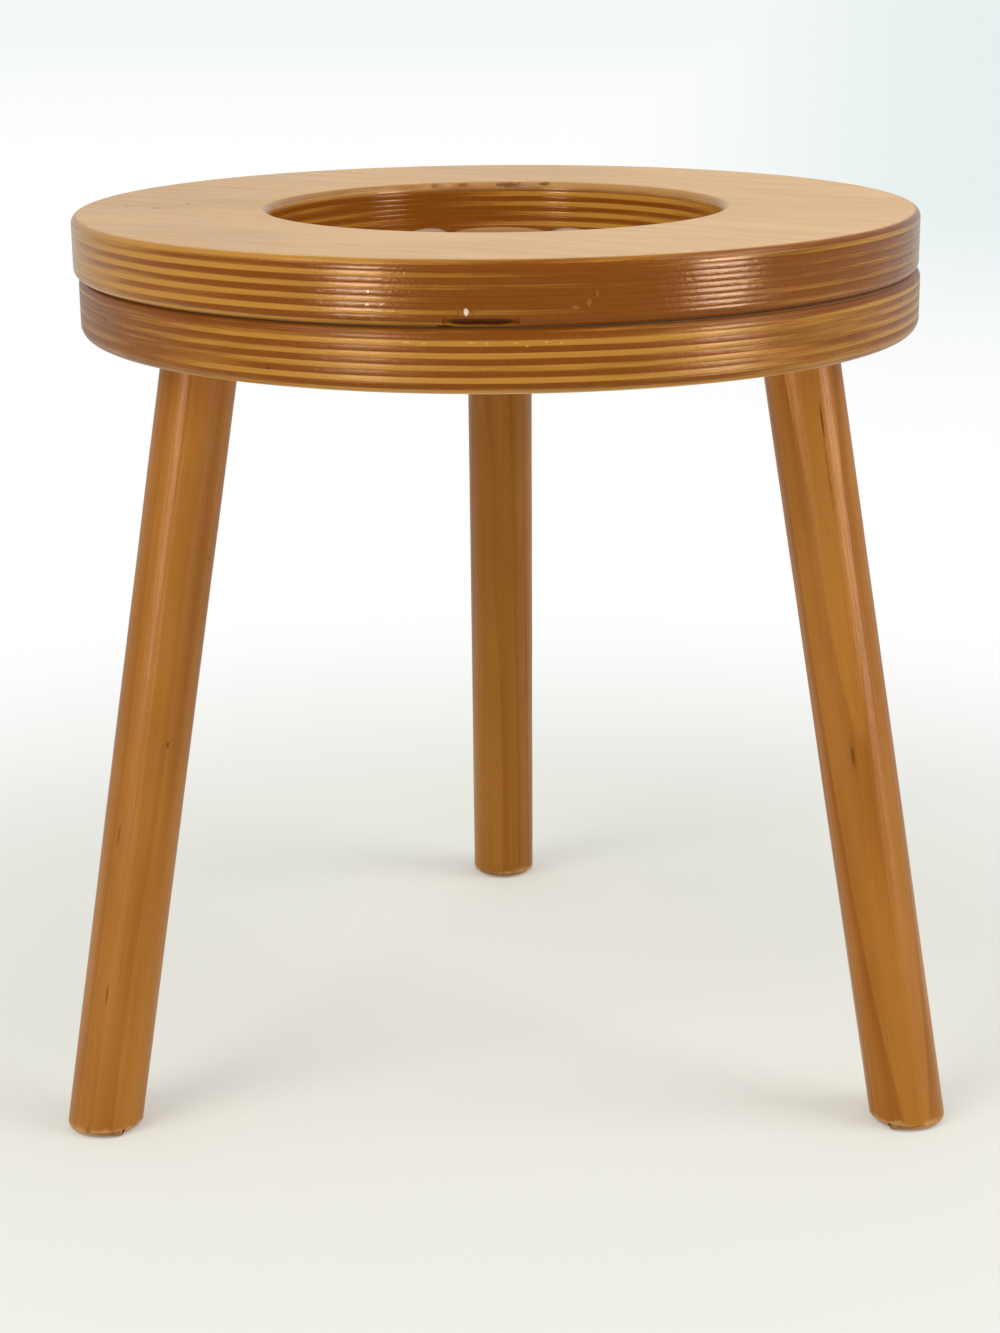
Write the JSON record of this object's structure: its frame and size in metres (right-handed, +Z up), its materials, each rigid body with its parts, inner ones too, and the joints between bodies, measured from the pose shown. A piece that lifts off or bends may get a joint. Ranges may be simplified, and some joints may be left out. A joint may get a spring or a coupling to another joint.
{
  "type": "three-legged stool",
  "caption": "Low round stool: two stacked plywood rings with a wide hole through the middle, on splayed round legs.",
  "frame": {"origin": "on the floor, at the centre of the circle that the axes of the three legs stand on", "axes": "+Z up along the stool's axis, square to the seat; -Y to the front, where two legs stand; +Y to the back, where the third leg stands"},
  "size_m": [0.3158, 0.3304, 0.318],
  "materials": {
    "varnished_plywood": "clear gloss varnish, amber with age",
    "varnished_beech": "clear gloss varnish, amber with age",
    "bare_hardwood": "bare, glued"
  },
  "bodies": {
    "root": {"upper_ring": "varnished_plywood", "lower_ring": "varnished_plywood", "leg_front_left": "varnished_beech", "leg_front_right": "varnished_beech", "leg_rear": "varnished_beech", "wedge_front_left": "bare_hardwood", "wedge_front_right": "bare_hardwood", "wedge_rear": "bare_hardwood", "dowel_front": "bare_hardwood", "dowel_right": "bare_hardwood", "dowel_left": "bare_hardwood"}
  },
  "joints": []
}
